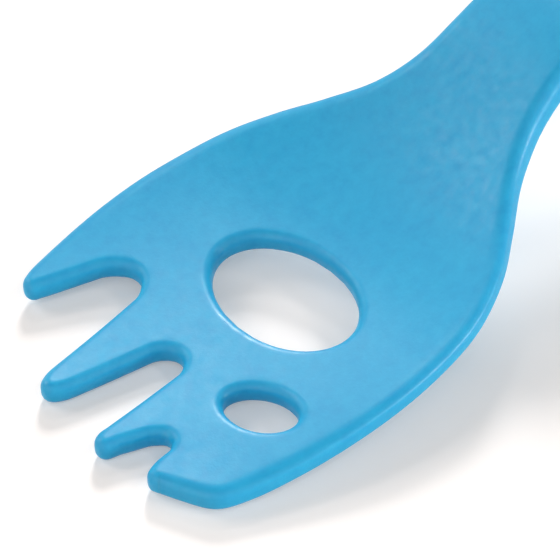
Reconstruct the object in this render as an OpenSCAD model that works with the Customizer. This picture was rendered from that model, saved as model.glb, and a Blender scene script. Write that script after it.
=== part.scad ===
// A serving spork: a stiff nylon core in the head and a steel spine in the handle,
// both moulded into one seamless silicone skin.
// The front of the tines is at s = 0. Lengths along the tool follow its bend, so the flat blank
// has the places [s, y] and a height h above its middle surface.

/* [Head] */
// Greatest width of the head
head_w = 77; // [60:1:95]
// Length of the head from the tine fronts to the neck, along the bend
head_l = 112; // [95:1:135]
// Thickness of the head
head_t = 4.8; // [4.4:0.1:6.5]
// Depth of the dished hollow below the edges of the head
dish_depth = 3.8; // [1:0.2:7]
// Radius of the soft edge in the slots and drain holes and round the tine tips
opening_edge_r = 1.9; // [1.2:0.1:2.1]
// Radius of the crisper edge round the outside of the head
rim_edge_r = 1.3; // [0.8:0.1:2]

/* [Drain holes] */
// Large drain hole, size across the head
big_hole_w = 33.5; // [24:0.5:38]
// Large drain hole, size along the head
big_hole_l = 22; // [14:1:25]
// Small drain hole, size across the head
small_hole_w = 13.5; // [9:0.5:16]
// Small drain hole, size along the head
small_hole_l = 10; // [7:0.5:12]

/* [Neck and handle] */
// Width of the neck where the handle begins
neck_w = 27.5; // [21:0.5:30]
// Width of the grip near its end
grip_w = 29; // [22:0.5:34]
// Thickness of the neck and grip
grip_t = 9; // [7.5:0.5:13]
// Fall of each face from its middle line to its sides, in the neck and grip
grip_crown = 0.9; // [0:0.1:1.5]
// Edge radius of the neck and grip
grip_edge_r = 3; // [1.5:0.1:3.2]
// Length of the straight grip
grip_l = 86; // [60:1:130]
// Length of the flat end that rests on the table
end_l = 24; // [20:1:34]

/* [Bend] */
// Rise of the tines where the hollow begins
toe_angle = 3; // [0:1:6]
// Rise of the head at the middle of the hollow
head_angle = 8; // [5:1:14]
// Rise of the neck
neck_angle = 37; // [22:1:42]
// Length of the level toe
toe_l = 20; // [14:1:26]
// Length of the gently rising middle of the head
rise_l = 28; // [20:1:36]
// Length of the sweep from the head up into the neck
sweep_l = 50; // [38:1:62]
// Length of the straight neck
neck_l = 8; // [2:1:16]
// Length of the arch from the neck over into the grip
arch_l = 54; // [44:1:80]
// Length of the curve from the grip down to its flat end
heel_l = 26; // [16:1:36]

/* [Core and spine] */
// Thickness of the silicone over the faces of the core
skin_t = 1.4; // [1.1:0.1:1.7]
// Width of the all-silicone edge round the core
soft_edge_w = 3; // [2.6:0.1:3.3]
// Width of the steel spine
spine_w = 10; // [7:0.5:12]
// Thickness of the steel spine
spine_t = 2.5; // [1.5:0.1:3]
// Length of the spine that is moulded into the core
grip_on_spine_l = 34; // [24:1:40]
// Diameter of the two anchor holes in the spine
anchor_d = 4; // [3:0.5:5]
// Diameter of the hanging hole
hang_d = 8; // [5:0.5:9]
// Width of the steel ring round the hanging hole
eye_rim_w = 3; // [2:0.5:4]

/* [Hidden] */

// Half widths, and the whole length along the bend
head_half = head_w / 2;
neck_half = neck_w / 2;
grip_half = grip_w / 2;
bend_l = toe_l + rise_l + sweep_l + neck_l + arch_l + grip_l + heel_l + end_l;

// Outline of the head: place along the head, share of the way from the neck's width to the head's
outline_shares = [[-0.06, 0.65], [0, 0.72], [0.14, 0.88], [0.25, 0.965], [0.36, 1], [0.46, 0.975],
    [0.56, 0.892], [0.65, 0.716], [0.72, 0.504], [0.8, 0.256], [0.88, 0.1], [0.95, 0.034],
    [1.05, 0.004], [1.16, 0]];
// Depth of the hollow along the head, as a share of its greatest depth
dish_shares = [[-0.06, 0], [0, 0.03], [0.09, 0.18], [0.18, 0.45], [0.31, 0.82], [0.45, 1], [0.58, 0.87],
    [0.71, 0.53], [0.85, 0.32], [0.98, 0.16], [1.12, 0.04], [1.26, 0]];
// Growth from the thin head to the thick grip along the head
growth_shares = [[0.42, 0], [0.54, 0.02], [0.71, 0.14], [0.89, 0.52], [1.07, 0.9], [1.34, 1]];

// Places of the four tine tips along the head
tine_shares = [0.096, -0.018, -0.028, -0.0085];
// Slots: place of the closed end, its middle and half width, then the same two at s = 0
slot_shares = [[0.255, 0.546, 0.109, 0.594, 0.29], [0.193, -0.015, 0.087, -0.002, 0.159],
    [0.068, -0.401, 0.053, -0.379, 0.098]];
// Slanting front edge of the blunt tine: its start at s = 0, and its run across for each step back
blunt_share = -0.6;
blunt_slope_share = 1.95;
// Centres of the drain holes, and how far the small one leans across for each step back
big_hole_shares = [0.403, -0.067];
small_hole_shares = [0.208, -0.561];
small_hole_lean_share = -0.27;
// Growth of the half width from the neck to the wide end of the grip, along the handle
grip_shares = [[0, 0], [0.35, 0.1], [0.8, 1]];
// Where the three lines between the four strips of the blank lie across the handle
seam_shares = [0.5, -0.05, -0.55];

// Length of the rounding at each tine tip, and of the change from its soft edge to the crisp rim
tip_l = 3;
soft_tip_l = 12;
// Softness of the corner where the slanting front edge meets the rim, its place along the head,
// and the share of the head that the slant can reach
corner_r = 1.2;
corner_share = 0.052;
slant_share = 0.25;
// Least width of the flat face of a tine, and length of the all-silicone tips
tine_face_w = 1.2;
core_setback = 10;
// Edge radius of the core, and length of its rounded rear end
core_edge_r = 0.6;
core_end_l = 6;
// Where the spine begins in the neck, and where the core ends round it
spine_start = toe_l + rise_l + sweep_l - neck_l / 2;
core_end = spine_start + grip_on_spine_l;
// The anchor holes, as shares of the length that the core grips, and the hanging hole
anchor_shares = [0.25, 0.7];
hang_place = bend_l - end_l / 2;
// Overrun of all cuts
overrun = 1;

// Facets: spacing of the cross-sections in the head, the handle and the core, their least spacing,
// columns across a strip, steps in a rounded edge, steps round a tine's tip and its width as a share
// of its length, and stations along the spine
head_step = 3.4;
grip_step = 6;
core_step = 10;
least_step = 0.4;
columns = 2;
edge_steps = 3;
tip_steps = 6;
tip_share = 0.3;
spine_steps = 40;
// Tolerance of all comparisons, finer than any size
nothing = 0.000001;

// Value at x on a smooth curve through the rows of a table
function rate(t, i) = let (a = max(i - 1, 0), b = min(i + 1, len(t) - 1))
    (t[b][1] - t[a][1]) / (t[b][0] - t[a][0]);
function blend(a, b, ra, rb, w, u) = a + u * u * (3 - 2 * u) * (b - a)
    + w * u * (1 - u) * ((1 - u) * ra - u * rb);
function smooth(t, x, i = 0) =
    x <= t[0][0] ? t[0][1] :
    i > len(t) - 2 ? t[len(t) - 1][1] :
    x > t[i + 1][0] ? smooth(t, x, i + 1) :
    let (w = t[i + 1][0] - t[i][0])
    blend(t[i][1], t[i + 1][1], rate(t, i), rate(t, i + 1), w, (x - t[i][0]) / w);
function mix(a, b, u) = a + (b - a) * u;
function clamp(u) = min(max(u, 0), 1);
// Quarter ellipse that closes a width over its last stretch
function cap(u) = u > 1 - nothing ? 0 : sqrt(1 - pow(max(u, 0), 2));

// The middle line in side view: arcs of a length that turn from one rise to the next
function arcs(fall) = [[toe_l, 0, toe_angle], [rise_l, toe_angle, head_angle],
    [sweep_l, head_angle, neck_angle], [neck_l, neck_angle, neck_angle], [arch_l, neck_angle, -fall],
    [grip_l, -fall, -fall], [heel_l, -fall, 0], [end_l, 0, 0]];
// Chord of an arc that starts at rise a, ends at rise b and has the length l
function chord(a, b, l) = let (h = (b - a) / 2, c = h == 0 ? l : l * sin(h) / (h * PI / 180))
    [c * cos(a + h), c * sin(a + h)];
function along(list, s, k = 0, p = [0, head_t / 2]) =
    let (l = list[k][0], a = list[k][1], b = list[k][2], e = mix(a, b, s / l))
    s <= 0 ? [p + s * [cos(a), sin(a)], a] :
    s <= l ? [p + chord(a, e, s), e] :
    k == len(list) - 1 ? [p + chord(a, b, l) + (s - l) * [cos(b), sin(b)], b] :
    along(list, s - l, k + 1, p + chord(a, b, l));
// The fall of the grip that brings its flat end down to the table, found by halving
function end_height(fall) = along(arcs(fall), bend_l)[0].y - grip_t / 2;
function find_fall(low, high, n = 30) = let (m = (low + high) / 2)
    n == 0 ? m : end_height(m) > 0 ? find_fall(m, high, n - 1) : find_fall(low, m, n - 1);
bend = arcs(find_fall(0, 60));
// The finished tool is centred along X between its longest tine and the end of its handle
front_x = head_l * min(tine_shares);
centre_x = (front_x + along(bend, bend_l)[0].x) / 2;

// Sizes of the blank at the place s
function growth(s) = smooth(growth_shares, s / head_l);
function wide(s) = mix(neck_half, head_half, smooth(outline_shares, s / head_l))
    + (grip_half - neck_half) * smooth(grip_shares, (s - head_l) / (bend_l - head_l));
function thick(s) = mix(head_t, grip_t, growth(s));
function crown(s) = grip_crown * growth(s);
function dish(s) = dish_depth * smooth(dish_shares, s / head_l);

// Place in the finished tool of a point of the blank
function place(s, y, h) =
    let (f = along(bend, s), n = h + dish(s) * pow(y / wide(s), 2))
    [f[0].x - n * sin(f[1]) - centre_x, y, f[0].y + n * cos(f[1])];

// A piece is made from the list [inset of its edge, setback of its tips, end, length of its rounded end,
// inset of its faces, edge radius, steps in a rounded edge, spacing of its cross-sections].
// An edge radius of zero asks for the skin's own.
skin_piece = [0, 0, bend_l, grip_half, 0, 0, edge_steps, head_step];
core_piece = [soft_edge_w, core_setback, core_end, core_end_l, skin_t, core_edge_r, 1, core_step];
// The rim is 1 on the left outside edge, -1 on the right one, and 0 at the slots and holes.
function edge_r(piece, rim, s) = piece[5] > 0 ? piece[5] : rim == 0 ? opening_edge_r :
    let (away = clamp((s - tip(piece, rim > 0 ? 0 : 3)) / soft_tip_l))
    mix(mix(opening_edge_r, rim_edge_r, away), grip_edge_r, growth(s));
function inset(piece, rim, s) = piece[0] + edge_r(piece, rim, s);
function hole_inset(piece) = inset(piece, 0, 0);
// Where the flat face of tine k begins, always ahead of the slots beside it
function tip(piece, k) = min(head_l * tine_shares[k] + piece[1] + hole_inset(piece),
    free_l(piece, k) - tip_l);

// Half width of the flat faces on one side, with the rounded end
function end_s(piece) = piece[2] - edge_r(piece, 1, piece[2]);
function half(piece, rim, s) = let (i = inset(piece, rim, s), e = end_s(piece),
    r = min(piece[3], wide(e) - i))
    (wide(s) - i) * cap((s - e + r) / r);

// The slot on a seam at the place s: its closed end, its middle and its half width in the flat faces
function slot_end(piece, j) = head_l * slot_shares[j][0] + hole_inset(piece);
function slot_y(j, s) = head_half
    * mix(slot_shares[j][3], slot_shares[j][1], s / (head_l * slot_shares[j][0]));
function slot_half(piece, j, s) = let (e = slot_end(piece, j), u = s / (head_l * slot_shares[j][0]),
    r = slot_r(piece, j),
    w = head_half * mix(slot_shares[j][4], slot_shares[j][2], u) + hole_inset(piece))
    s > e - nothing ? 0 : max(w, r) * cap((s - e + r) / r);
// The hole on a seam: its centre, its half sizes along and across, and its lean
function hole(piece, j) = let (i = hole_inset(piece))
    j == 1 ? [head_l * big_hole_shares[0], head_half * big_hole_shares[1],
        big_hole_l / 2 + i, big_hole_w / 2 + i, 0] :
    [head_l * small_hole_shares[0], head_half * small_hole_shares[1],
        small_hole_l / 2 + i, small_hole_w / 2 + i, small_hole_lean_share];
function hole_half(piece, j, s) = let (h = hole(piece, j), u = abs(s - h[0]) / h[2])
    j == 0 || u > 1 - nothing ? 0 : h[3] * sqrt(1 - u * u);
function opening(piece, j, s) = s < slot_end(piece, j) - nothing ? slot_half(piece, j, s)
    : hole_half(piece, j, s);
// Middle of the seam: down the slot, straight to the hole, through it, and on along the handle
function seam(piece, j, s) =
    let (h = hole(piece, j), e = slot_end(piece, j), y = slot_y(j, e - hole_inset(piece)),
        front = [h[0] - h[2], h[1] - h[4] * h[2]], back = [h[0] + h[2], h[1] + h[4] * h[2]],
        last = j == 0 ? [e, y] : back)
    s < e ? slot_y(j, min(s, e - hole_inset(piece))) :
    j > 0 && s < front.x ? mix(y, front.y, (s - e) / (front.x - e)) :
    j > 0 && s < back.x ? h[1] + h[4] * (s - h[0]) :
    half(piece, 1, s) * mix(last.y / half(piece, 1, last.x), seam_shares[j],
        min((s - last.x) / (head_l - last.x), 1));

// Edge of the flat face of strip k at the place s; side 1 is the left edge and -1 the right one
function is_outer(k, side) = side > 0 ? k == 0 : k == 3;
function seam_of(k, side) = side > 0 ? k - 1 : k;
function blunt(piece, s) = head_half * blunt_share - blunt_slope_share * s
    + hole_inset(piece) * sqrt(1 + pow(blunt_slope_share, 2));
function corner(a, b) = (a + b) / 2 + sqrt(pow((a - b) / 2, 2) + pow(corner_r, 2));
function outer_y(piece, side, s) = let (y = side * half(piece, side, s))
    side < 0 && s < slant_share * head_l ? corner(y, blunt(piece, s)) : y;
function raw_edge(piece, k, side, s) = is_outer(k, side) ? outer_y(piece, side, s)
    : seam(piece, seam_of(k, side), s) - side * opening(piece, seam_of(k, side), s);
// A tine keeps its least width and closes in a round tip, which lies in the middle of it, or on the
// slanting front edge of the blunt tine
function free_l(piece, k) = min([for (side = [1, -1]) is_outer(k, side) ? head_l
    : slot_end(piece, seam_of(k, side))]);
function edge_y(piece, k, side, s) =
    let (left = raw_edge(piece, k, 1, s), right = raw_edge(piece, k, -1, s), t = tip(piece, k),
        short = s < free_l(piece, k) ? max((tine_face_w - left + right) / 2, 0) : 0,
        y = (side > 0 ? left : right) + side * short)
    s > t + tip_l || (k == 3 && side < 0) ? y : mix(tip_y(piece, k), y, cap((t + tip_l - s) / tip_l));
function tip_y(piece, k) = let (t = tip(piece, k), s = t + tip_l)
    k == 3 ? edge_y(piece, 3, -1, t) : (raw_edge(piece, k, 1, s) + raw_edge(piece, k, -1, s)) / 2;
// Whether strip k has a free edge on this side at the place s
function is_open(piece, k, side, s) = is_outer(k, side) || opening(piece, seam_of(k, side), s) > 0;

// Places of the cross-sections: exact ones where an opening or a tine ends, closer ones near them,
// and even ones between
function sorted(v) = len(v) < 2 ? v : let (m = v[floor(len(v) / 2)])
    concat(sorted([for (x = v) if (x < m) x]), [m], sorted([for (x = v) if (x > m) x]));
function near(piece, end, reach) = [for (q = [1 : piece[6]]) end + reach * (1 - cos(90 * q / piece[6]))];
function ends(piece) = concat([for (j = [0 : 2]) slot_end(piece, j)],
    [for (j = [1, 2], u = [-1, 1]) hole(piece, j)[0] + u * hole(piece, j)[2]],
    [end_s(piece)]);
function slot_r(piece, j) = head_half * slot_shares[j][2] + hole_inset(piece);
function between(piece) = concat(
    [for (j = [0 : 2]) each near(piece, slot_end(piece, j), -slot_r(piece, j))],
    [for (j = [1, 2], q = [1 : 2 * piece[6] + 2])
        hole(piece, j)[0] + cos(180 * q / (2 * piece[6] + 3)) * hole(piece, j)[2]],
    near(piece, end_s(piece), -piece[3]),
    [for (u = [-1 : 1]) corner_share * head_l + u * corner_r],
    [for (s = [0 : piece[7] : head_l]) s],
    [for (s = [head_l : grip_step : bend_l]) s]);
function thinned(v, fixed) = [for (i = [0 : len(v) - 1])
    if ((i == 0 || v[i] - v[i - 1] > least_step) && min([for (m = fixed) abs(m - v[i])]) > least_step) v[i]];
function places(piece) = let (fixed = ends(piece), last = max(fixed),
    v = sorted([for (s = between(piece)) if (s < last) s]))
    sorted(concat(fixed, thinned(v, fixed)));

// Direction out of the material along the free edge of a strip, from its neighbours on that edge
function outward(piece, k, side, v, line, i) =
    let (last = len(v) - 1, a = line[max(i - 1, 0)], b = line[min(i + 1, last)], d = b - a)
    i == 0 ? [-1, 0] : i == last ? [1, 0] :
    is_open(piece, k, side, v[i]) ? side * [-d.y, d.x] / norm(d) :
    is_open(piece, k, side, v[i - 1]) ? [-1, 0] :
    is_open(piece, k, side, v[i + 1]) ? [1, 0] : [0, side];
// Rounded edge from the top face down to the bottom face, at the edge point p with the direction n
function wall(piece, k, side, p, n) =
    let (r = edge_r(piece, is_outer(k, side) ? side : 0, p.x), t = face_h(piece, p.x, p.y))
    [for (u = [1, -1], q = [1 : piece[6]]) let (a = 90 * (u > 0 ? q : piece[6] + 1 - q) / piece[6])
        place(p.x + n.x * r * sin(a), p.y + n.y * r * sin(a), u * (t - r + r * cos(a)))];
function face_h(piece, s, y) = thick(s) / 2 - crown(s) * pow(y / wide(s), 2) - piece[4];
function face(piece, s, left, right, u) = [for (c = [0 : columns]) let (y = mix(left, right, c / columns))
    place(s, y, u * face_h(piece, s, y))];
function reverse(v) = [for (i = [len(v) - 1 : -1 : 0]) v[i]];
function ring(piece, k, v, lines, i) = let (left = lines[0][i], right = lines[1][i])
    concat(face(piece, v[i], left.y, right.y, 1),
        wall(piece, k, -1, right, outward(piece, k, -1, v, lines[1], i)),
        reverse(face(piece, v[i], left.y, right.y, -1)),
        reverse(wall(piece, k, 1, left, outward(piece, k, 1, v, lines[0], i))));
// The cross-sections of strip k: its own round its tine's tip, which turn by equal angles, then the
// common ones
function own_places(piece, k, all) = let (t = tip(piece, k)) concat(
    [for (q = [0 : tip_steps - 1]) t + tip_l * (1 - cos(atan(tip_share * tan(90 * q / tip_steps))))],
    [for (s = all) if (s > t + tip_l - least_step / 2) s]);
function triangle(a, b, c) = a == b || b == c || a == c ? [] : [[a, b, c]];
function strip(piece, k, all) =
    let (v = own_places(piece, k, all),
        lines = [for (side = [1, -1]) [for (s = v) [s, edge_y(piece, k, side, s)]]],
        rings = [for (i = [0 : len(v) - 1]) ring(piece, k, v, lines, i)],
        n = len(rings[0]), w = 2 * piece[6] + 1)
    [for (i = [0 : len(v) - 2], j = [0 : n - 1])
        let (side = j >= columns && j < columns + w ? -1 : j >= 2 * columns + w ? 1 : 0)
        if (side == 0 || is_open(piece, k, side, v[i]) || is_open(piece, k, side, v[i + 1]))
        let (a = rings[i][j], b = rings[i][(j + 1) % n], c = rings[i + 1][(j + 1) % n], d = rings[i + 1][j])
        each concat(triangle(a, d, c), triangle(a, c, b))];
module blank(piece) {
    all = places(piece);
    t = [for (k = [0 : 3]) each strip(piece, k, all)];
    polyhedron([for (f = t) each f], [for (i = [0 : len(t) - 1]) [3 * i, 3 * i + 1, 3 * i + 2]]);
}

// Places a child at the place s of the bend, upright on the middle surface
module on_bend(s) {
    f = along(bend, s);
    translate([f[0].x - centre_x, 0, f[0].y]) rotate([0, -f[1], 0]) children();
}
// The flat steel bar bent along the tool, with a round eye at its end
module spine_bar() {
    v = [for (i = [0 : spine_steps]) mix(spine_start, hang_place, i / spine_steps)];
    side = [for (u = [1, -1], s = u > 0 ? v : reverse(v)) let (f = along(bend, s))
        f[0] + u * spine_t / 2 * [-sin(f[1]), cos(f[1])] - [centre_x, 0]];
    rotate([90, 0, 0]) linear_extrude(spine_w, center = true) polygon(side);
    on_bend(hang_place) cylinder(spine_t, d = hang_d + 2 * eye_rim_w, center = true, $fn = 64);
}
module hang_bore() {
    on_bend(hang_place) cylinder(grip_t + 2 * overrun, d = hang_d, center = true, $fn = 64);
}

// The blue skin, moulded over the core and the spine, open to them only in the hanging hole
module silicone_skin() {
    color([0.3, 0.68, 0.85]) difference() {
        blank(skin_piece);
        blank(core_piece);
        spine_bar();
        hang_bore();
    }
}
// The nylon core, with pegs through the anchor holes of the spine
module head_core() {
    color([0.16, 0.3, 0.42]) difference() {
        blank(core_piece);
        steel_bar();
    }
}
module steel_bar() {
    difference() {
        spine_bar();
        for (u = anchor_shares) on_bend(spine_start + u * grip_on_spine_l)
            cylinder(spine_t + 2 * overrun, d = anchor_d, center = true, $fn = 32);
        hang_bore();
    }
}
module steel_spine() {
    color([0.75, 0.76, 0.78]) steel_bar();
}

silicone_skin();
head_core();
steel_spine();
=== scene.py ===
"""A serving spork: one blue silicone skin moulded over a nylon head core and a steel spine.

The skin starts as a flat blank: s runs along the tool's bend from the front of the tines, y across
it, and h is the height above its middle surface. place() bends and dishes it into the finished tool.
Lengths are in millimetres, in the frame of the solids, until the points go into a mesh.
"""
from math import cos, pi, radians, sin, sqrt

import bmesh
import bpy
import numpy as np
from mathutils import Matrix, Vector


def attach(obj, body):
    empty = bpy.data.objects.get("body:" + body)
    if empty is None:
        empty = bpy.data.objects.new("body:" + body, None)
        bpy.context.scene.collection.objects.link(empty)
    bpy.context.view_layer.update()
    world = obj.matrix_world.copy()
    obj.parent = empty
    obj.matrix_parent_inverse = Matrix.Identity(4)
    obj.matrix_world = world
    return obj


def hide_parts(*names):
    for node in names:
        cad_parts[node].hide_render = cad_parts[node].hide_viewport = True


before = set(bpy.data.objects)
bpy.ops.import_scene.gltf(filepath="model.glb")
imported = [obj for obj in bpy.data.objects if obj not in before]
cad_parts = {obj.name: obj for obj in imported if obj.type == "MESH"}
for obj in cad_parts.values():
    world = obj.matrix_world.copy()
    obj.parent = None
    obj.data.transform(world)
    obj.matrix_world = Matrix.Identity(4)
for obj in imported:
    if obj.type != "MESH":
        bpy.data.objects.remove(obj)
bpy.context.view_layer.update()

MM = 0.001

# Head, with the round edge of its tines, slots and drain holes
HEAD_HALF = 77 / 2
HEAD_L = 112
HEAD_T = 4.8
DISH_DEPTH = 3.8
OPENING_EDGE_R = 1.9

# Rim of the head: a soft roll on the top face, wider than it is high, over a crisper edge below
RIM_ROLL_W = 3.2
RIM_ROLL_R = 1.6
RIM_EDGE_R = 1.3

# Drain holes: sizes across and along the head
BIG_HOLE = (33.5, 22)
SMALL_HOLE = (13.5, 10)

# Neck and handle
NECK_HALF = 27.5 / 2
GRIP_HALF = 29 / 2
GRIP_T = 9
GRIP_CROWN = 0.9
GRIP_EDGE_R = 3
END_L = 24

# Bend: arcs with a length, the rise at their start and the rise at their end, in degrees
TOE = (20, 0, 3)
RISE = (28, 3, 8)
SWEEP = (50, 8, 37)
NECK = (8, 37, 37)
ARCH_L = 54
GRIP_L = 86
HEEL_L = 26
BEND_L = TOE[0] + RISE[0] + SWEEP[0] + NECK[0] + ARCH_L + GRIP_L + HEEL_L + END_L

# Hanging hole, with the groove that shows the steel eye in its wall
HANG_R = 4
HANG_EDGE_R = 0.8
HANG_PLACE = BEND_L - END_L / 2
HANG_REACH = HANG_R + 2 * HANG_EDGE_R
EYE_T = 2.5
EYE_GROOVE = 0.3

# Along the head: its outline, its hollow and its growth into the thicker handle. Along the handle:
# the growth of the grip's width.
OUTLINE_SHARES = [
    (-0.06, 0.65), (0, 0.72), (0.14, 0.88), (0.25, 0.965), (0.36, 1), (0.46, 0.975),
    (0.56, 0.892), (0.65, 0.716), (0.72, 0.504), (0.8, 0.256), (0.88, 0.1), (0.95, 0.034),
    (1.05, 0.004), (1.16, 0)]
DISH_SHARES = [
    (-0.06, 0), (0, 0.03), (0.09, 0.18), (0.18, 0.45), (0.31, 0.82), (0.45, 1), (0.58, 0.87),
    (0.71, 0.53), (0.85, 0.32), (0.98, 0.16), (1.12, 0.04), (1.26, 0)]
GROWTH_SHARES = [(0.42, 0), (0.54, 0.02), (0.71, 0.14), (0.89, 0.52), (1.07, 0.9), (1.34, 1)]
GRIP_SHARES = [(0, 0), (0.35, 0.1), (0.8, 1)]

# Fronts of the four tines as shares of the head's length, the least width of their top face, the
# length of a round tip, and the length over which the edge of the outer tines becomes the rim's
TINE_SHARES = [0.096, -0.018, -0.028, -0.0085]
TINE_FACE_W = 1.2
TIP_L = 3
SOFT_TIP_L = 12

# Each slot: its length, its middle and half width at its closed end, and both at its front
SLOT_SHARES = [
    (0.255, 0.546, 0.109, 0.594, 0.29), (0.193, -0.015, 0.087, -0.002, 0.159),
    (0.068, -0.401, 0.053, -0.379, 0.098)]

# Slanting front edge of the blunt tine, and the round corner where it meets the rim
BLUNT_SHARE = -0.6
BLUNT_SLOPE_SHARE = 1.95
SLANT_SHARE = 0.25
CORNER_R = 1.2
CORNER_SHARE = 0.052

# Middles of the drain holes, lean of the small one, and the seams' places at the neck
BIG_HOLE_SHARES = (0.403, -0.067)
SMALL_HOLE_SHARES = (0.208, -0.561)
SMALL_HOLE_LEAN_SHARE = -0.27
SEAM_SHARES = (0.5, 0, -0.5)

# Mesh: spacing of the cross-sections on the head and the handle, and the least spacing
HEAD_STEP = 1.1
HANDLE_STEP = 2.2
LEAST_STEP = 0.12
PLACE_DIGITS = 9

# Mesh: columns across a strip, and steps in a round edge, towards an end, round a tip and a corner
COLUMNS = 8
EDGE_STEPS = 8
EYE_STEPS = 3
NEAR_STEPS = 14
TIP_STEPS = 18
TIP_SHARE = 0.3
CORNER_STEPS = 8
CORNER_REACH = 2

# Mesh: points that are joined, edges that are dropped, and the angle from which an edge is sharp
JOIN_GAP = 0.002
LEAST_EDGE = 0.001
SHARP_ANGLE = 50

# Search for the grip's fall, in degrees, and the smallest share that counts
MOST_FALL = 60
FALL_TRIES = 40
NOTHING = 1e-6


def mix(a, b, u):
    return a + (b - a) * u


def smooth(table, x):
    """Value at x on a smooth curve through the rows of a table, which stays level past its ends."""
    xs, ys = np.array(table, float).T
    rates = np.empty(len(ys))
    rates[0] = (ys[1] - ys[0]) / (xs[1] - xs[0])
    rates[-1] = (ys[-1] - ys[-2]) / (xs[-1] - xs[-2])
    rates[1:-1] = (ys[2:] - ys[:-2]) / (xs[2:] - xs[:-2])
    x = np.clip(x, xs[0], xs[-1])
    i = np.clip(np.searchsorted(xs, x) - 1, 0, len(xs) - 2)
    w = xs[i + 1] - xs[i]
    u = (x - xs[i]) / w
    step = u * u * (3 - 2 * u) * (ys[i + 1] - ys[i])
    return ys[i] + step + w * u * (1 - u) * ((1 - u) * rates[i] - u * rates[i + 1])


def cap(u):
    """Quarter ellipse that closes a width over its last stretch."""
    return np.where(u > 1 - NOTHING, 0, np.sqrt(np.maximum(1 - np.maximum(u, 0) ** 2, 0)))


def chord(rise_a, rise_b, length):
    """The way from the start of an arc to its end."""
    half_turn = radians(rise_b - rise_a) / 2
    reach = length if abs(half_turn) < NOTHING else length * sin(half_turn) / half_turn
    middle = radians(rise_a) + half_turn
    return np.array([reach * cos(middle), reach * sin(middle)])


def arcs(fall):
    """The side view: stretches of a length that turn from one rise to the next."""
    return [TOE, RISE, SWEEP, NECK, (ARCH_L, NECK[2], -fall), (GRIP_L, -fall, -fall),
            (HEEL_L, -fall, 0), (END_L, 0, 0)]


def end_height(fall):
    """Height of the flat end above the table."""
    return HEAD_T / 2 + sum(chord(a, b, length)[1] for length, a, b in arcs(fall)) - GRIP_T / 2


def find_fall():
    """The fall of the grip that brings its flat end down to the table."""
    low, high = 0.0, float(MOST_FALL)
    for _ in range(FALL_TRIES):
        middle = (low + high) / 2
        low, high = (middle, high) if end_height(middle) > 0 else (low, middle)
    return low


BEND = arcs(find_fall())


def along(s):
    """Places (x, z) and rises, in radians, on the middle line."""
    s = np.asarray(s, float)
    x, z, rise = s.copy(), np.full(s.shape, HEAD_T / 2), np.zeros(s.shape)
    start, point = 0.0, np.array([0, HEAD_T / 2])
    for length, a, b in BEND:
        inside = s > start
        u = np.minimum(s - start, length)
        turn = radians(b - a) * u / length
        middle = radians(a) + turn / 2
        reach = u * np.sinc(turn / 2 / pi)
        over = np.maximum(s - start - length, 0)
        x = np.where(inside, point[0] + reach * np.cos(middle) + over * cos(radians(b)), x)
        z = np.where(inside, point[1] + reach * np.sin(middle) + over * sin(radians(b)), z)
        rise = np.where(inside, radians(a) + turn, rise)
        point = point + chord(a, b, length)
        start += length
    return x, z, rise


FRONT_X = HEAD_L * min(TINE_SHARES)
CENTRE_X = (FRONT_X + float(along(np.array([BEND_L]))[0][0])) / 2


def growth(s):
    """0 on the head and 1 on the handle."""
    return smooth(GROWTH_SHARES, s / HEAD_L)


def wide(s):
    """Half width of the tool."""
    return (mix(NECK_HALF, HEAD_HALF, smooth(OUTLINE_SHARES, s / HEAD_L))
            + (GRIP_HALF - NECK_HALF) * smooth(GRIP_SHARES, (s - HEAD_L) / (BEND_L - HEAD_L)))


def face_h(s, y):
    """Height of the top face above the middle surface."""
    return mix(HEAD_T, GRIP_T, growth(s)) / 2 - GRIP_CROWN * growth(s) * (y / wide(s)) ** 2


def place(s, y, h):
    """Places in the finished tool of points of the blank."""
    x, z, rise = along(s)
    n = h + DISH_DEPTH * smooth(DISH_SHARES, s / HEAD_L) * (y / wide(s)) ** 2
    return np.stack([x - n * np.sin(rise) - CENTRE_X, y + 0 * x, z + n * np.cos(rise)], -1)


# The blank is four lengthwise strips, from the left to the blunt tine's at the right. Seams 0 to 2
# lie between them, with the slots and holes on them. A rim is 1 on the left outside edge, -1 on the
# right one, and 0 at the slots and holes.
BLUNT = 3
MIDDLE_SEAM = 1
HOLE_SEAMS = (1, 2)


def tip(k):
    """Where the flat face of tine k begins."""
    return HEAD_L * TINE_SHARES[k] + OPENING_EDGE_R


def edge(rim, s, rim_size):
    """Size of the rounded edge: round at the tines and openings, then the rim's, then the grip's."""
    if rim == 0:
        return np.full(np.shape(s), float(OPENING_EDGE_R))
    away = np.clip((s - tip(0 if rim > 0 else BLUNT)) / SOFT_TIP_L, 0, 1)
    return mix(mix(OPENING_EDGE_R, rim_size, away), GRIP_EDGE_R, growth(s))


def roll_r(rim, s):
    """Height of the rounded edge on the top face."""
    return edge(rim, s, RIM_ROLL_R)


def roll_w(rim, s):
    """Width of the rounded edge on the top face."""
    return edge(rim, s, RIM_ROLL_W)


def low_r(rim, s):
    """Radius of the edge on the bottom face, crisper round the outside of the head."""
    return edge(rim, s, RIM_EDGE_R)


END_S = BEND_L - float(roll_r(1, np.array([BEND_L]))[0])


def half(rim, s):
    """Half width of the flat faces on one side, with the round end of the handle."""
    r = min(GRIP_HALF, float(wide(np.array([END_S]))[0]) - GRIP_EDGE_R)
    return (wide(s) - roll_w(rim, s)) * cap((s - END_S + r) / r)


def slot_end(j):
    return HEAD_L * SLOT_SHARES[j][0] + OPENING_EDGE_R


def slot_r(j):
    """Half width at the slot's closed end, out to the flat faces."""
    return HEAD_HALF * SLOT_SHARES[j][2] + OPENING_EDGE_R


def slot_y(j, s):
    long_share, end_y, _, front_y, _ = SLOT_SHARES[j]
    return HEAD_HALF * mix(front_y, end_y, s / (HEAD_L * long_share))


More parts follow.
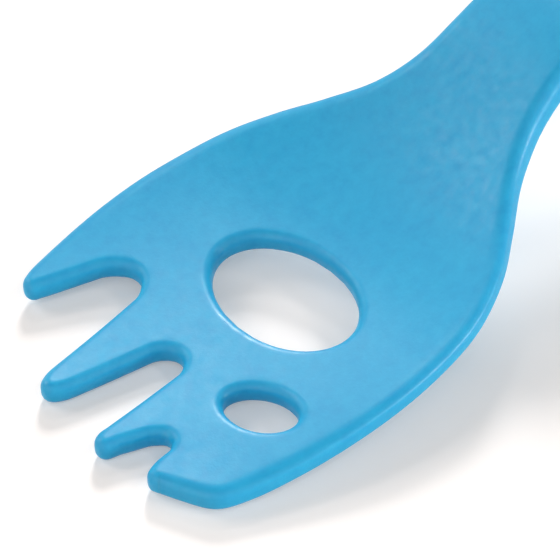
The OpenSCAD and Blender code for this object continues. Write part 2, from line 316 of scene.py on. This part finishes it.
def slot_half(j, s):
    long_share, _, end_half, _, front_half = SLOT_SHARES[j]
    w = HEAD_HALF * mix(front_half, end_half, s / (HEAD_L * long_share)) + OPENING_EDGE_R
    return np.maximum(w, slot_r(j)) * cap((s - slot_end(j) + slot_r(j)) / slot_r(j))


def hole(j):
    """Centre, half sizes along and across, and lean of the drain hole on a seam."""
    if j == MIDDLE_SEAM:
        centre, size, lean = BIG_HOLE_SHARES, BIG_HOLE, 0
    else:
        centre, size, lean = SMALL_HOLE_SHARES, SMALL_HOLE, SMALL_HOLE_LEAN_SHARE
    return (HEAD_L * centre[0], HEAD_HALF * centre[1],
            size[1] / 2 + OPENING_EDGE_R, size[0] / 2 + OPENING_EDGE_R, lean)


def hole_half(j, s):
    if j not in HOLE_SEAMS:
        return 0 * s
    s0, _, long_r, across_r, _ = hole(j)
    return across_r * cap(np.abs(s - s0) / long_r)


def hang_half(j, s):
    r = HANG_R + HANG_EDGE_R
    return r * cap(np.abs(s - HANG_PLACE) / r) if j == MIDDLE_SEAM else 0 * s


def opening(j, s):
    """Half width of whatever opens a seam: its slot, its drain hole or the hanging hole."""
    slot = np.where(s < slot_end(j) - NOTHING, slot_half(j, s), 0)
    return slot + hole_half(j, s) + hang_half(j, s)


def seam(j, s):
    """Middle of a seam: down the slot, straight to the hole, through it and on along the handle."""
    end = slot_end(j)
    slot_s = end - OPENING_EDGE_R
    last_s, last_y = end, slot_y(j, slot_s)
    y = slot_y(j, np.minimum(s, slot_s))
    if j in HOLE_SEAMS:
        s0, y0, long_r, _, lean = hole(j)
        front_s, front_y = s0 - long_r, y0 - lean * long_r
        way = np.clip((s - end) / (front_s - end), 0, 1)
        y = np.where(s > end, mix(last_y, front_y, way), y)
        y = np.where(s > front_s, y0 + lean * (s - s0), y)
        last_s, last_y = s0 + long_r, y0 + lean * long_r
    last_share = last_y / float(half(1, np.array([last_s]))[0])
    way = np.clip((s - last_s) / (HEAD_L - last_s), 0, 1)
    return np.where(s > last_s, half(1, s) * mix(last_share, SEAM_SHARES[j], way), y)


def is_outer(k, side):
    """Whether this side of strip k is the outside edge."""
    return k == (0 if side > 0 else BLUNT)


def seam_of(k, side):
    """The seam on one side of strip k."""
    return k - 1 if side > 0 else k


def raw_edge(k, side, s):
    """Edge of the flat face of strip k, before its tine's round tip."""
    if not is_outer(k, side):
        j = seam_of(k, side)
        return seam(j, s) - side * opening(j, s)
    y = side * half(side, s)
    if side > 0:
        return y
    slant = (HEAD_HALF * BLUNT_SHARE - BLUNT_SLOPE_SHARE * s
             + OPENING_EDGE_R * sqrt(1 + BLUNT_SLOPE_SHARE ** 2))
    corner = (y + slant) / 2 + np.sqrt(((y - slant) / 2) ** 2 + CORNER_R ** 2)
    return np.where(s < SLANT_SHARE * HEAD_L, corner, y)


def tip_y(k):
    """The blunt tine's tip lies on its slanting front edge, and the others' in their middle."""
    if k == BLUNT:
        return edge_y(BLUNT, -1, np.array([tip(BLUNT)]))[0]
    s = np.array([tip(k) + TIP_L])
    return (raw_edge(k, 1, s) + raw_edge(k, -1, s))[0] / 2


def edge_y(k, side, s):
    """Edge of the flat face of strip k, which keeps its least width and ends in a round tip."""
    left, right = raw_edge(k, 1, s), raw_edge(k, -1, s)
    free_l = min(HEAD_L if is_outer(k, a) else slot_end(seam_of(k, a)) for a in (1, -1))
    short = np.where(s < free_l, np.maximum((TINE_FACE_W - left + right) / 2, 0), 0)
    y = (left if side > 0 else right) + side * short
    way = (tip(k) + TIP_L - s) / TIP_L
    if k == BLUNT and side < 0:
        return y
    return np.where(way > 0, mix(tip_y(k), y, cap(way)), y)


def is_open(k, side, s):
    """Where this side of strip k is a free edge, and not a seam."""
    return np.full(len(s), True) if is_outer(k, side) else opening(seam_of(k, side), s) > 0


def stations():
    """Places of the cross-sections: exact where something ends, close near there, then even."""
    slots = range(len(SLOT_SHARES))
    holes = [(hole(j)[0], hole(j)[2]) for j in HOLE_SEAMS] + [(HANG_PLACE, HANG_R + HANG_EDGE_R)]
    fixed = ([slot_end(j) for j in slots] + [END_S]
             + [s0 + side * r for s0, r in holes for side in (-1, 1)])
    quarter = 1 - np.cos(np.linspace(0, pi / 2, NEAR_STEPS))
    corner = np.linspace(-CORNER_REACH, CORNER_REACH, CORNER_STEPS + 1) * CORNER_R
    close = [slot_end(j) - slot_r(j) * quarter for j in slots]
    close += [s0 + r * np.cos(np.linspace(0, pi, 2 * NEAR_STEPS)) for s0, r in holes]
    close += [END_S - GRIP_HALF * quarter, CORNER_SHARE * HEAD_L + corner]
    close += [np.arange(0, HEAD_L, HEAD_STEP), np.arange(HEAD_L, END_S, HANDLE_STEP)]
    fixed = np.unique(np.round(fixed, PLACE_DIGITS))
    kept = []
    for s in np.sort(np.concatenate(close)):
        apart = np.abs(fixed - s).min() > LEAST_STEP and (not kept or s - kept[-1] > LEAST_STEP)
        if apart and s < END_S:
            kept.append(s)
    return np.sort(np.concatenate([fixed, kept]))


def own_stations(k, every):
    """Strip k's own cross-sections round its tine's tip, at equal turns, then the common ones."""
    turn = np.arange(TIP_STEPS) / TIP_STEPS * pi / 2
    own = tip(k) + TIP_L * (1 - np.cos(np.arctan(TIP_SHARE * np.tan(turn))))
    return np.concatenate([own, every[every > tip(k) + TIP_L - LEAST_STEP / 2]])


def outward(k, side, s, y):
    """Directions out of the material at the points of an edge, from each point's neighbours."""
    ds, dy = np.gradient(s), np.gradient(y)
    ds[1:-1], dy[1:-1] = s[2:] - s[:-2], y[2:] - y[:-2]
    n = side * np.stack([-dy, ds], -1) / np.hypot(ds, dy)[:, None]
    free = is_open(k, side, s)
    before, after = np.roll(free, 1), np.roll(free, -1)
    n[~free] = (0, side)
    n[~free & after] = (1, 0)
    n[~free & before] = (-1, 0)
    n[0], n[-1] = (-1, 0), (1, 0)
    return n


def hang_direction(s, y):
    """Directions into the hanging hole from its edge."""
    n = np.stack([HANG_PLACE - s, 0 - y], -1)
    return n / np.linalg.norm(n, axis=1)[:, None]


def soft_profile(w, r, low, t):
    """Rounded edge from the top face down to the bottom one: distances out and heights."""
    w, r, low, t = (v[:, None] for v in (w, r, low, t))
    a = np.linspace(0, pi / 2, EDGE_STEPS + 1)[1:]
    b = np.linspace(pi / 2, 0, EDGE_STEPS)
    out = np.hstack([w * np.sin(a), w - low + low * np.sin(b)])
    return out, np.hstack([t - r + r * np.cos(a), low - t - low * np.cos(b)])


def hang_profile(t):
    """The hanging hole's wall, with a groove round the steel eye in the middle of it."""
    a = np.linspace(0, pi / 2, EDGE_STEPS - EYE_STEPS + 1)[1:]
    groove = HANG_EDGE_R - EYE_GROOVE
    outs = np.concatenate([HANG_EDGE_R * np.sin(a), [HANG_EDGE_R, groove, groove]])
    out = np.tile(outs, (len(t), 1))
    arc_h = (t - HANG_EDGE_R)[:, None] + HANG_EDGE_R * np.cos(a)
    eye_h = np.tile([EYE_T / 2, EYE_T / 2, EYE_T / 4], (len(t), 1))
    h = np.hstack([arc_h, eye_h])
    return np.hstack([out, out[:, ::-1]]), np.hstack([h, -h[:, ::-1]])


def wall(k, side, s, y):
    """Points down the free edge of a strip, from the top face to the bottom one."""
    n = outward(k, side, s, y)
    rim = side if is_outer(k, side) else 0
    t = face_h(s, y)
    out, h = soft_profile(roll_w(rim, s), roll_r(rim, s), low_r(rim, s), t)
    at_hang = (np.abs(s - HANG_PLACE) < HANG_REACH) & (not is_outer(k, side))
    if seam_of(k, side) == MIDDLE_SEAM and at_hang.any():
        n[at_hang] = hang_direction(s[at_hang], y[at_hang])
        out[at_hang], h[at_hang] = hang_profile(t[at_hang])
    return place(s[:, None] + n[:, :1] * out, y[:, None] + n[:, 1:] * out, h)


def strip(k, every):
    """Points and quads of one strip: rings round its section, joined where it has a surface."""
    s = own_stations(k, every)
    left, right = edge_y(k, 1, s), edge_y(k, -1, s)
    y = mix(left[:, None], right[:, None], np.linspace(0, 1, COLUMNS + 1))
    rows = np.repeat(s[:, None], COLUMNS + 1, 1)
    t = face_h(rows, y)
    rings = np.concatenate([
        place(rows, y, t), wall(k, -1, s, right),
        place(rows, y, -t)[:, ::-1], wall(k, 1, s, left)[:, ::-1]], 1)
    n = rings.shape[1]
    # Which edge of the strip each quad of a ring belongs to: -1 right, 1 left, 0 the faces
    right_end = COLUMNS + 2 * EDGE_STEPS + 1
    side_of = np.zeros(n, int)
    side_of[COLUMNS:right_end] = -1
    side_of[right_end + COLUMNS:] = 1
    quads = []
    for side in (0, -1, 1):
        js = np.nonzero(side_of == side)[0]
        free = np.full(len(s), True) if side == 0 else is_open(k, side, s)
        for i in np.nonzero(free[:-1] | free[1:])[0]:
            a, b = i * n + js, i * n + (js + 1) % n
            quads.append(np.stack([a, a + n, b + n, b], -1))
    return rings.reshape(-1, 3), np.concatenate(quads)


def skin_mesh():
    every = stations()
    points, quads, start = [], [], 0
    for k in range(len(TINE_SHARES)):
        p, q = strip(k, every)
        points.append(p)
        quads.append(q + start)
        start += len(p)
    mesh = bpy.data.meshes.new("skin")
    mesh.from_pydata((np.concatenate(points) * MM).tolist(), [], np.concatenate(quads).tolist())
    bm = bmesh.new()
    bm.from_mesh(mesh)
    bmesh.ops.remove_doubles(bm, verts=bm.verts, dist=JOIN_GAP * MM)
    bmesh.ops.dissolve_degenerate(bm, edges=bm.edges, dist=LEAST_EDGE * MM)
    bmesh.ops.recalc_face_normals(bm, faces=bm.faces)
    loose = [e for e in bm.edges if len(e.link_faces) != 2]
    print("skin:", len(bm.faces), "faces,", len(loose), "open edges")
    bm.to_mesh(mesh)
    bm.free()
    mesh.shade_smooth()
    mesh.set_sharp_from_angle(angle=radians(SHARP_ANGLE))
    return mesh


# Materials: the range of a noise that is used, and the Mix node's sockets for colours
NOISE_LOW = 0.3
NOISE_HIGH = 0.7
MIX_A = 6
MIX_B = 7
MIX_RESULT = 2


def linear(level):
    """A channel of an sRGB colour, 0 to 255, as the renderer's linear value."""
    c = level / 255
    return c / 12.92 if c <= 0.04045 else ((c + 0.055) / 1.055) ** 2.4


def colour(srgb):
    return (*(linear(level) for level in srgb), 1.0)


class Nodes:
    """A material with its shader, and short calls that add, set and link nodes."""

    def __init__(self, name):
        self.material = bpy.data.materials.new(name)
        self.material.use_nodes = True
        self.tree = self.material.node_tree
        self.shader = self.tree.nodes["Principled BSDF"]

    def add(self, kind, **values):
        node = self.tree.nodes.new(kind)
        for name, value in values.items():
            setattr(node, name, value)
        return node

    def feed(self, node, values):
        """Gives each of a node's inputs a plain value or another node's output."""
        for name, value in values.items():
            if isinstance(value, bpy.types.NodeSocket):
                self.tree.links.new(value, node.inputs[name])
            else:
                node.inputs[name].default_value = value
        return node

    def noise(self, scale, detail, roughness, stretch=(1, 1, 1)):
        places = self.add("ShaderNodeTexCoord").outputs["Object"]
        mapping = self.feed(self.add("ShaderNodeMapping"), {"Scale": stretch, "Vector": places})
        noise = self.feed(self.add("ShaderNodeTexNoise"), {
            "Scale": scale, "Detail": detail, "Roughness": roughness,
            "Vector": mapping.outputs["Vector"]})
        return noise.outputs["Fac"]

    def spread(self, source, low, high):
        """Stretches the middle of a noise over the values from low to high."""
        node = self.feed(self.add("ShaderNodeMapRange"), {
            "From Min": NOISE_LOW, "From Max": NOISE_HIGH, "To Min": low, "To Max": high,
            "Value": source})
        return node.outputs["Result"]

    def mixed(self, factor, a, b):
        """Two colours in one: a at factor 0 and b at 1."""
        node = self.add("ShaderNodeMix", data_type="RGBA")
        self.feed(node, {"Factor": factor, MIX_A: a, MIX_B: b})
        return node.outputs[MIX_RESULT]

    def bump(self, height, strength, distance):
        node = self.add("ShaderNodeBump")
        return self.feed(node, {"Strength": strength, "Distance": distance, "Height": height})


def silicone():
    """Matte blue silicone: soft clouds of tone, fine mottling and a barely uneven surface."""
    m = Nodes("blue_silicone")
    clouds = m.spread(m.noise(scale=55, detail=2, roughness=0.5), 0, 1)
    mottling = m.spread(m.noise(scale=420, detail=4, roughness=0.65), 0, 1)
    soft = m.mixed(clouds, colour((8, 155, 203)), colour((22, 164, 208)))
    fine = m.mixed(mottling, colour((6, 148, 199)), colour((34, 171, 214)))
    matte = m.spread(m.noise(scale=500, detail=3, roughness=0.6), 0.34, 0.52)
    waves = m.bump(m.noise(scale=110, detail=2, roughness=0.5), strength=0.12, distance=0.0004)
    grain = m.bump(m.noise(scale=1500, detail=3, roughness=0.6), strength=0.2, distance=0.0001)
    m.feed(grain, {"Normal": waves.outputs["Normal"]})
    m.feed(m.shader, {
        "Base Color": m.mixed(factor=0.5, a=soft, b=fine), "Roughness": matte,
        "Normal": grain.outputs["Normal"], "IOR": 1.43, "Specular IOR Level": 0.55,
        "Subsurface Weight": 0.2,
        "Subsurface Radius": (0.4, 0.8, 1.0), "Subsurface Scale": 0.0025})
    return m.material


def nylon():
    """Dark moulded nylon of the hidden core, with a fine grain."""
    m = Nodes("nylon")
    tone = m.spread(m.noise(scale=300, detail=3, roughness=0.6), 0, 1)
    matte = m.spread(m.noise(scale=500, detail=2, roughness=0.5), 0.5, 0.6)
    grain = m.bump(m.noise(scale=1800, detail=2, roughness=0.5), strength=0.15, distance=0.0001)
    m.feed(m.shader, {
        "Base Color": m.mixed(tone, colour((40, 62, 84)), colour((52, 76, 98))),
        "Roughness": matte, "Normal": grain.outputs["Normal"]})
    return m.material


def steel():
    """Brushed stainless steel, with its brushing along the bar."""
    m = Nodes("brushed_steel")
    brushing = m.noise(scale=900, detail=4, roughness=0.7, stretch=(0.05, 1, 1))
    tone = m.mixed(m.spread(brushing, 0, 1), colour((188, 190, 194)), colour((214, 216, 219)))
    grain = m.bump(brushing, strength=0.08, distance=0.0001)
    m.feed(m.shader, {
        "Base Color": tone, "Roughness": m.spread(brushing, 0.26, 0.4),
        "Normal": grain.outputs["Normal"], "Metallic": 1.0})
    return m.material


def dress(node, material):
    """Gives a solid of the frame its material."""
    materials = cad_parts[node].data.materials
    materials.clear()
    materials.append(material)


skin = bpy.data.objects.new("skin", skin_mesh())
bpy.context.scene.collection.objects.link(skin)
skin.data.materials.append(silicone())
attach(skin, "root")
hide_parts("silicone_skin")
dress("head_core", nylon())
dress("steel_spine", steel())

# Floor, 6 m wide: seen as white where it is lit, with the tool's shadow
FLOOR_SIZE = 6.0
FLOOR_COLOUR = (0.88, 0.82, 0.785, 1)
FLOOR_LIFT = 0.22


def lamp_view(tree):
    """1 for a ray from the camera or from a mirror or glass, 0 for one that lights something."""
    rays = tree.nodes.new("ShaderNodeLightPath")
    most = rays.outputs["Is Camera Ray"]
    for name in ("Is Glossy Ray", "Is Transmission Ray"):
        larger = tree.nodes.new("ShaderNodeMath")
        larger.operation = "MAXIMUM"
        tree.links.new(most, larger.inputs[0])
        tree.links.new(rays.outputs[name], larger.inputs[1])
        most = larger.outputs[0]
    return most


def floor():
    bpy.ops.mesh.primitive_plane_add(size=FLOOR_SIZE)
    plane = bpy.context.object
    plane.name = "floor"
    m = Nodes("white_floor")
    lift = m.add("ShaderNodeMath", operation="MULTIPLY")
    m.feed(lift, {0: lamp_view(m.tree), 1: FLOOR_LIFT})
    m.feed(m.shader, {
        "Base Color": FLOOR_COLOUR, "Roughness": 1.0, "Specular IOR Level": 0.0,
        "Emission Color": (1, 1, 1, 1), "Emission Strength": lift.outputs[0]})
    plane.data.materials.append(m.material)


# Light: a faint even sky and soft suns, named by their side. The one behind throws the main shadow,
# those in front, at the right and at the left light the walls, and the others fill in.
SKY_LEVEL = 0.03
SUNS = {
    "behind": {"towards": (0.707, 0.707), "elevation": 31, "angle": 12, "energy": 2.15},
    "above": {"towards": (0.57, 0.82), "elevation": 49, "angle": 10, "energy": 0.32},
    "over_right": {"towards": (0.743, -0.669), "elevation": 50, "angle": 8, "energy": 0.25},
    "far_left": {"towards": (-0.438, 0.899), "elevation": 37, "angle": 30, "energy": 0.87},
    "front": {"towards": (-0.4, -0.917), "elevation": 10, "angle": 120, "energy": 1.9},
    "right": {"towards": (0.6, -0.8), "elevation": 6, "angle": 20, "energy": 2.2},
    "left": {"towards": (-0.996, 0.087), "elevation": 20, "angle": 60, "energy": 0.88},
}


def sky():
    world = bpy.data.worlds.new("sky")
    bpy.context.scene.world = world
    world.use_nodes = True
    tree = world.node_tree
    background = tree.nodes["Background"]
    background.inputs["Color"].default_value = (1, 1, 1, 1)
    level = tree.nodes.new("ShaderNodeMapRange")
    level.inputs["To Min"].default_value = SKY_LEVEL
    level.inputs["To Max"].default_value = 1.0
    tree.links.new(lamp_view(tree), level.inputs["Value"])
    tree.links.new(level.outputs["Result"], background.inputs["Strength"])


def sun(name, towards, elevation, angle, energy):
    lamp = bpy.data.lights.new(name, "SUN")
    lamp.angle = radians(angle)
    lamp.energy = energy
    obj = bpy.data.objects.new(name, lamp)
    flat = Vector(towards).normalized() * cos(radians(elevation))
    direction = Vector((flat.x, flat.y, sin(radians(elevation))))
    obj.rotation_euler = direction.to_track_quat("Z", "Y").to_euler()
    obj.location = direction
    bpy.context.scene.collection.objects.link(obj)


# Camera: its angles, its distance, the point of the head that it looks at, and its lens. What it
# shows lies between the nearest and the farthest distance, in metres.
VIEW_ELEVATION = 42
VIEW_AZIMUTH = -40.2157
VIEW_DISTANCE = 407.4
VIEW_S = 46
VIEW_Y = 0.1
VIEW_HEIGHT = 8
FOCAL_PIXELS = 2200
IMAGE_PIXELS = 560
SENSOR = 36
NEAREST = 0.01
FARTHEST = 20


def camera():
    data = bpy.data.cameras.new("camera")
    data.sensor_width = SENSOR
    data.lens = FOCAL_PIXELS / IMAGE_PIXELS * SENSOR
    data.clip_start = NEAREST
    data.clip_end = FARTHEST
    a, e = radians(VIEW_AZIMUTH), radians(VIEW_ELEVATION)
    back = Vector((sin(a) * cos(e), -cos(a) * cos(e), sin(e)))
    right = Vector((cos(a), sin(a), 0))
    up = back.cross(right)
    target = Vector((VIEW_S - CENTRE_X, VIEW_Y, VIEW_HEIGHT)) * MM
    matrix = Matrix((right, up, back)).transposed().to_4x4()
    matrix.translation = target + back * VIEW_DISTANCE * MM
    obj = bpy.data.objects.new("camera", data)
    obj.matrix_world = matrix
    bpy.context.scene.collection.objects.link(obj)
    bpy.context.scene.camera = obj


floor()
sky()
for name, values in SUNS.items():
    sun(name, **values)
camera()
bpy.context.scene.view_settings.view_transform = "Standard"
